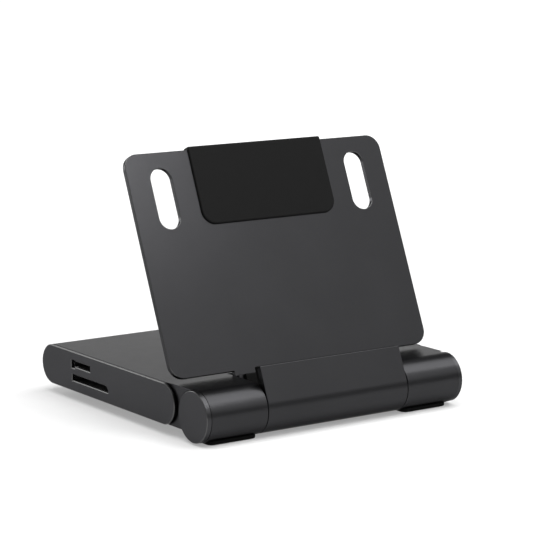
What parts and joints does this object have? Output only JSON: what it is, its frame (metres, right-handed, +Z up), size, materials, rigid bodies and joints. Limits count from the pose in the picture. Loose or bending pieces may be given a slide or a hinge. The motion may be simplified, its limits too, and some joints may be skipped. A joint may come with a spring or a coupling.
{
  "type": "tablet stand usb hub",
  "caption": "Folding aluminium tablet stand on a slim hub base with card slots, a lipped cradle on a barrel hinge and a rubber-padded back plate.",
  "frame": {"origin": "middle of the object's footprint, on the desk", "axes": "+Z up, +X to the right along the barrel axis, -Y towards the user; the plate leans back towards +Y"},
  "size_m": [0.1078, 0.107, 0.0919],
  "materials": {
    "anodised_aluminium": "fine bead-blasted dark grey anodising",
    "black_rubber": "matt moulded",
    "pad_rubber": "fine matt silicone",
    "steel": "turned",
    "screw_steel": "black oxide",
    "connector_steel": "plated sheet",
    "chip_package": "moulded epoxy",
    "board_laminate": "solder mask",
    "thermal_grey": "soft filled pad"
  },
  "bodies": {
    "hub_base": {"audio_jack": "chip_package", "barrel_cap_left": "anodised_aluminium", "barrel_cap_right": "anodised_aluminium", "base_cover": "anodised_aluminium", "board_screw_1": "screw_steel", "board_screw_2": "screw_steel", "board_screw_3": "screw_steel", "body_shell": "anodised_aluminium", "card_reader_chip": "chip_package", "cover_screw_1": "screw_steel", "cover_screw_2": "screw_steel", "cover_screw_3": "screw_steel", "cover_screw_4": "screw_steel", "display_converter_chip": "chip_package", "front_foot_left": "black_rubber", "front_foot_right": "black_rubber", "hdmi_socket": "connector_steel", "hinge_sleeve_left": "steel", "hinge_sleeve_right": "steel", "host_lead_gland": "black_rubber", "hub_controller_chip": "chip_package", "main_board": "board_laminate", "microsd_card_socket": "connector_steel", "power_controller_chip": "chip_package", "power_inductor": "thermal_grey", "rear_foot_left": "black_rubber", "rear_foot_right": "black_rubber", "sd_card_socket": "connector_steel", "side_cap_left": "anodised_aluminium", "side_cap_right": "anodised_aluminium", "thermal_pad": "thermal_grey", "usb_a_socket": "connector_steel", "usb_c_socket": "connector_steel"},
    "stand": {"cradle": "anodised_aluminium", "cradle_liner": "black_rubber", "hinge_nut_left": "steel", "hinge_nut_right": "steel", "hinge_shaft_left": "steel", "hinge_shaft_right": "steel", "plate_pad": "pad_rubber", "plate_screw_1": "screw_steel", "plate_screw_2": "screw_steel", "plate_screw_3": "screw_steel", "shaft_pin_left": "steel", "shaft_pin_right": "steel", "spring_washers_left": "steel", "spring_washers_right": "steel", "stand_plate": "anodised_aluminium"}
  },
  "joints": [
    {"name": "stand_hinge", "type": "hinge", "parent": "hub_base", "child": "stand", "pos_m": [0, -0.04475, 0.0093], "axis": [1, 0, 0], "range_deg": [0, 293]}
  ]
}
